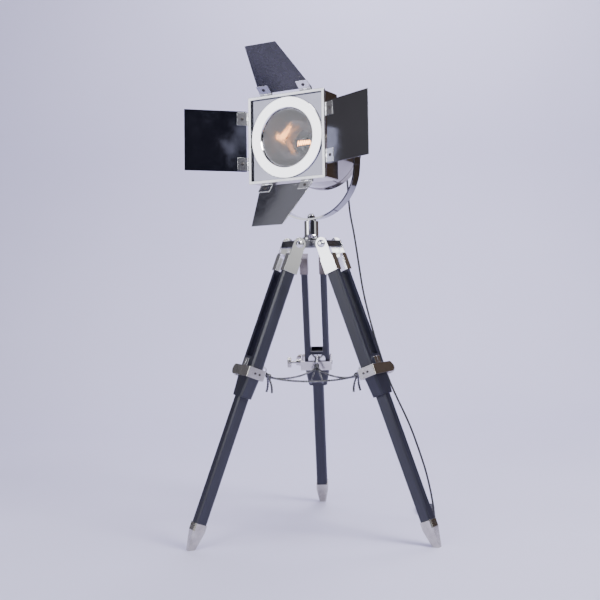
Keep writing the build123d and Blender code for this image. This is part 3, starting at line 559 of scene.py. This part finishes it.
def hank_turns():
    """The folded flex: flat turns laid beside and on each other, then out to the plug."""
    low, middle, high = HANK_LAYERS
    turns = [(HANK_OUTER, low), (HANK_INNER, low), (HANK_OUTER, middle), (HANK_INNER, middle),
             (HANK_INNER, high)]
    points = [(HANK_MIDDLE + HANK_OUTER - 0.0004, HANK_FRONT + 0.006, low)]
    bulge = 1 / math.cos(math.radians(22.5))
    for (radius, height), (radius_next, height_next) in zip(turns, turns[1:]):
        points.append((HANK_MIDDLE + radius, HANK_REAR - 0.006, height))
        for k in range(4):
            t = math.radians(22.5 + 45 * k)
            r = radius * bulge
            points.append((HANK_MIDDLE + r * math.cos(t), HANK_REAR + r * math.sin(t), height))
        points.append((HANK_MIDDLE - radius, HANK_REAR - 0.006, height))
        points.append((HANK_MIDDLE - radius + 0.0003, HANK_FRONT + 0.006, height))
        for k, rise in enumerate((0.3, 0.9, 1.0, 1.0)):
            t = math.radians(202.5 + 45 * k)
            r = (radius + (radius_next - radius) * k / 3) * bulge
            z = height + (height_next - height) * rise
            points.append((HANK_MIDDLE + r * math.cos(t), HANK_FRONT + r * math.sin(t), z))
        points.append((HANK_MIDDLE + radius_next - 0.0003, HANK_FRONT + 0.006, height_next))
    points += [(HANK_MIDDLE + 0.011, 0.180, high), (HANK_MIDDLE + 0.003, 0.204, high),
               (HANK_MIDDLE, 0.217, high), (HANK_MIDDLE, 0.2265, high)]
    return points


class LAMP_OT_flex(bpy.types.Operator):
    """Make the mains flex: the short lead at the head, the long drop, its tied hank and the plug's ribs"""

    bl_idname = "lamp.flex"
    bl_label = "Mains flex"

    def execute(self, context):
        settings = context.scene.lamp
        radius = settings.flex_diameter / 2
        rubber = finish("flex_rubber")
        lead_line = spline_line(LEAD_ROUTE)
        bm = bmesh.new()
        sweep(bm, lead_line, radius, 12)
        lead = finished("flex_lead", bm, rubber)
        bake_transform(lead)
        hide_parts("cord_lead")
        drop_line = spline_line(DROP_ROUTE + hank_turns(), 8)
        bm = bmesh.new()
        sweep(bm, drop_line, radius, 12)
        drop = finished("flex_drop", bm, rubber)
        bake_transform(drop)
        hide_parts("cord_drop", "cord_hank")
        ties = [self.tie("hank_tie_front", 0.166), self.tie("hank_tie_rear", 0.192)]
        ribs = self.ribs()
        return {"FINISHED"}

    def tie(self, name, place):
        """A flat band round the hank."""
        bm = bmesh.new()
        half_x, low, high, width = 0.0224, 0.0, 0.0158, 0.0022
        corners = []
        for cx, cz, start in ((half_x - 0.003, high - 0.003, 0), (-half_x + 0.003, high - 0.003, 90),
                              (-half_x + 0.003, low + 0.002, 180), (half_x - 0.003, low + 0.002, 270)):
            for k in range(4):
                t = math.radians(start + 30 * k)
                r = 0.003 if cz > 0.006 else 0.002
                corners.append((HANK_MIDDLE + cx + r * math.cos(t), cz + r * math.sin(t)))
        rings = []
        for inset in (0.0, 0.0006):
            for y in (place - width, place + width):
                ring = []
                for x, z in corners:
                    sx = HANK_MIDDLE + (x - HANK_MIDDLE) * (1 - inset * 40)
                    ring.append(bm.verts.new((sx, y, z if inset == 0 else z + (0.008 - z) * inset * 60)))
                rings.append(ring)
        count = len(corners)
        for a, b in ((rings[0], rings[1]), (rings[3], rings[2]), (rings[2], rings[0]), (rings[1], rings[3])):
            for k in range(count):
                bm.faces.new((a[k], a[(k + 1) % count], b[(k + 1) % count], b[k]))
        band = finished(name, bm, finish("plug_black"))
        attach(band, "hub")
        return band

    def ribs(self):
        """The bending ribs on the plug's relief and the grips on its sides."""
        bm = bmesh.new()
        for k in range(4):
            share = (k + 0.6) / 4.6
            y = 0.226 + 0.022 * share
            z = 0.0126 + (0.0075 - 0.0126) * share
            r = 0.0034 + (0.0060 - 0.0034) * share
            place = Matrix.Translation((HANK_MIDDLE, y, z)) @ Matrix.Rotation(math.pi / 2, 4, "X")
            spun(bm, [(r, -0.0011), (r + 0.0007, -0.0007), (r + 0.0007, 0.0007), (r, 0.0011)], place, 20)
        for side in (-1, 1):
            for k in range(5):
                y = 0.255 + 0.0045 * k
                x = HANK_MIDDLE + side * 0.0099
                line = [Vector((x, y, 0.004 + 0.0035 * n)) for n in range(3)]
                sweep(bm, line, 0.0007, 8)
        ribs = finished("plug_ribs", bm, finish("plug_black"))
        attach(ribs, "hub")
        return ribs


# ---------------------------------------------------------------- spreader wires

EYE_PLACE = Vector((-0.030, 0, -0.2975))
KNOT_PLACE = Vector((-0.042, 0, -0.3115))


def eye_middle(side):
    """The middle of a leg's eye ring."""
    return leg_place(side) @ EYE_PLACE


class LAMP_OT_spreaders(bpy.types.Operator):
    """Make the twisted spreader wires between the legs, with their knots and tails"""

    bl_idname = "lamp.spreaders"
    bl_label = "Spreader wires"

    def execute(self, context):
        settings = context.scene.lamp
        wire = finish("bright_wire")
        strand = settings.wire_diameter / 4
        pairs = {"front": ("left", "right"), "left": ("left", "rear"), "right": ("right", "rear")}
        for name, (first, second) in pairs.items():
            line = resampled(self.route(first, second), 0.0016)
            half = len(line) // 2
            for side, stretch in ((first, line[:half + 1]), (second, line[half:][::-1])):
                bm = bmesh.new()
                strands(bm, stretch, strand, strand * 1.2, 0.0120)
                piece = finished(f"spreader_{name}_{side}", bm, wire)
                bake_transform(piece)
                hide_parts(f"spreader_{name}")
        for side in LEG_AZIMUTHS:
            self.corner(side, wire, settings)
        return {"FINISHED"}

    def route(self, first, second):
        """The wire's line from eye to eye, under both rings and sagging a little between."""
        knot_a = leg_place(first) @ KNOT_PLACE
        knot_b = leg_place(second) @ KNOT_PLACE
        across = (knot_b - knot_a).normalized()
        span = (knot_b - knot_a).length
        down = Vector((0, 0, -1))
        points = [eye_middle(first) + across * 0.0054 + down * 0.0061, knot_a + across * 0.006]
        for share in (0.25, 0.5, 0.75):
            points.append(knot_a + across * (span * share) + down * 0.011 * (1 - (2 * share - 1) ** 2))
        points += [knot_b - across * 0.006, eye_middle(second) - across * 0.0054 + down * 0.0061]
        return spline_line(points)

    def corner(self, side, wire, settings):
        """The knot where two wires meet under an eye, and the two free tails."""
        eye = eye_middle(side)
        inwards = Vector((-eye.x, -eye.y, 0)).normalized()
        across = inwards.cross(Vector((0, 0, 1)))
        bm = bmesh.new()
        knot = eye + inwards * 0.010 + Vector((0, 0, -0.0125))
        ring = eye + Vector((0, 0, -0.0055))
        loop = []
        for k in range(26):
            t = 2 * math.pi * k / 25
            middle = ring.lerp(knot, 0.55)
            loop.append(middle + across * 0.0046 * math.sin(t) + (ring - middle) * 1.25 * math.cos(t))
        strands(bm, loop, settings.wire_diameter * 0.24, settings.wire_diameter * 0.26, 0.008)
        wraps = []
        for k in range(61):
            t = 2 * math.pi * k / 12
            rise = k / 60
            centre = knot + inwards * (0.011 * (rise - 0.35)) + Vector((0, 0, -0.003 * rise))
            wraps.append(centre + across * 0.0042 * math.cos(t) + Vector((0, 0, 1)) * 0.0042 * math.sin(t))
        sweep(bm, wraps, settings.wire_diameter * 0.40, 8)
        for turn in (-1, 1):
            tail = []
            for k in range(13):
                share = k / 12
                drop = settings.tail_length * share
                tail.append(knot + across * turn * (0.0020 + 0.013 * share ** 0.8)
                            + inwards * 0.004 * math.sin(share * 2.5) + Vector((0, 0, -0.003 - drop)))
            strands(bm, tail, settings.wire_diameter * 0.28, settings.wire_diameter * 0.34, 0.012)
        knot_piece = finished(f"wire_knot_{side}", bm, wire)
        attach(knot_piece, f"leg_{side}")


# ---------------------------------------------------------------- lamp filament and door screws

class LAMP_OT_filament(bpy.types.Operator):
    """Make the filament, its supports and the glass stem inside the bulb"""

    bl_idname = "lamp.filament"
    bl_label = "Filament"

    def execute(self, context):
        folds = context.scene.lamp.filament_folds
        place = head_place()
        middle = -HEAD_FRONT + 0.085
        bm = bmesh.new()
        line = []
        for k in range(2 * folds + 1):
            x = -0.013 + 0.026 * k / (2 * folds)
            z = 0.004 if k % 2 else -0.004
            line.append((x, middle, z))
        coil = [place @ Vector(p) for p in line]
        sweep(bm, resampled(coil, 0.0008), 0.00055, 6)
        wire = finished("filament", bm, finish("filament"))
        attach(wire, "head")
        bm = bmesh.new()
        for x in (-0.013, -0.0045, 0.0045, 0.013):
            post = [place @ Vector((x, middle, -0.004 if abs(x) > 0.01 else 0.004)),
                    place @ Vector((x * 0.7, middle + 0.010, -0.001)),
                    place @ Vector((x * 0.3, middle + 0.022, 0))]
            sweep(bm, post, 0.0004, 6)
        rod = [(0.0, 0.0), (0.0035, 0.0005), (0.0045, 0.006), (0.0040, 0.016), (0.0065, 0.026), (0.0, 0.027)]
        axis = place @ Matrix.Translation((0, middle + 0.018, 0)) @ Matrix.Rotation(-math.pi / 2, 4, "X")
        spun(bm, [(max(r, 0.0002), h) for r, h in rod], axis, 20)
        posts = finished("filament_posts", bm, finish("bright_wire"))
        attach(posts, "head")
        return {"FINISHED"}


class LAMP_OT_door_screws(bpy.types.Operator):
    """Make the slotted screws that hold the hinge leaves to the doors"""

    bl_idname = "lamp.door_screws"
    bl_label = "Door screws"

    def execute(self, context):
        for door in DOOR_TURNS:
            place = door_place(door)
            bm = bmesh.new()
            for middle in (-0.052, 0.052):
                self.screw(bm, place, 0.0139, middle, middle * 40)
            heads = finished(f"door_{door}_screws", bm, finish("screw_steel"))
            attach(heads, f"door_{door}")
        return {"FINISHED"}

    def screw(self, bm, place, x, z, turn):
        """A round head with a straight slot, on the leaf's inner face."""
        seat = place @ Matrix.Translation((x, SCREW_SEAT, z)) @ Matrix.Rotation(math.pi / 2, 4, "X")
        seat = seat @ Matrix.Rotation(turn, 4, "Z")
        dome = [(0.0038, 0.0), (0.0038, 0.0010), (0.0034, 0.0014), (0.0018, 0.0017), (0.0002, 0.0018)]
        spun(bm, dome, seat, 20)
        for s in (-1, 1):
            near, far = 0.0004 * s, 0.0010 * s
            corners = [(-0.0030, near), (0.0030, near), (0.0030, far), (-0.0030, far)]
            low = [bm.verts.new(seat @ Vector((a, b, 0.0014))) for a, b in corners]
            high = [bm.verts.new(seat @ Vector((a * 0.7, b, 0.0021))) for a, b in corners]
            bm.faces.new(high)
            for k in range(4):
                bm.faces.new((low[k], low[(k + 1) % 4], high[(k + 1) % 4], high[k]))


class LAMP_OT_finishes(bpy.types.Operator):
    """Give every CAD piece its plated, lacquered, glass or moulded finish"""

    bl_idname = "lamp.finishes"
    bl_label = "Finishes"

    def execute(self, context):
        for name, node in NODES.items():
            node.data.materials.clear()
            node.data.materials.append(finish(self.finish_name(name)))
        return {"FINISHED"}

    def finish_name(self, name):
        if name in NODE_FINISHES:
            return NODE_FINISHES[name]
        if name.startswith("leg_"):
            side, part = name.split("_", 2)[1:]
            # The rear fork's darker finish is painted shade; the front forks keep the bright chrome.
            fork = "rear_fork_painted_shade" if side == "rear" else "strap_chrome"
            return {"rails": f"lacquer_{side}", "lower_bar": f"lacquer_{side}", "fork": fork,
                    "clamp": "satin_nickel", "clamp_screws": "screw_steel", "thumbscrew": "satin_nickel",
                    "shoes": "chrome", "foot": "ferrule_nickel"}[part]
        if name.startswith("door_"):
            # Each door panel gets its own painted shade of the same chrome.
            panel = {"door_top": "door_painted_dark_shade", "door_left": "door_painted_navy_shade", "door_bottom": "door_painted_mid_shade",
                     "door_right": "door_painted_light_shade"}
            return panel.get(name, "strap_chrome")
        if name.startswith("spreader"):
            return "bright_wire"
        return "flex_rubber"


# ---------------------------------------------------------------- panel and running

OPERATORS = (LAMP_OT_stage, LAMP_OT_flex, LAMP_OT_spreaders, LAMP_OT_filament, LAMP_OT_door_screws,
             LAMP_OT_finishes)


class LAMP_PT_panel(bpy.types.Panel):
    """Lists the lamp's settings and operators."""

    bl_idname = "LAMP_PT_panel"
    bl_label = "Tripod spotlight lamp"
    bl_space_type = "VIEW_3D"
    bl_region_type = "UI"
    bl_category = "Lamp"

    def draw(self, context):
        for name in LampSettings.__annotations__:
            self.layout.prop(context.scene.lamp, name)
        for operator in OPERATORS:
            self.layout.operator(operator.bl_idname)


def register():
    bpy.utils.register_class(LampSettings)
    bpy.types.Scene.lamp = PointerProperty(type=LampSettings)
    for operator in OPERATORS:
        bpy.utils.register_class(operator)
    bpy.utils.register_class(LAMP_PT_panel)


def unregister():
    bpy.utils.unregister_class(LAMP_PT_panel)
    for operator in reversed(OPERATORS):
        bpy.utils.unregister_class(operator)
    del bpy.types.Scene.lamp
    bpy.utils.unregister_class(LampSettings)


def main():
    register()
    bpy.ops.lamp.stage()
    bpy.ops.lamp.flex()
    bpy.ops.lamp.spreaders()
    bpy.ops.lamp.filament()
    bpy.ops.lamp.door_screws()
    bpy.ops.lamp.finishes()


if __name__ == "__main__":
    main()
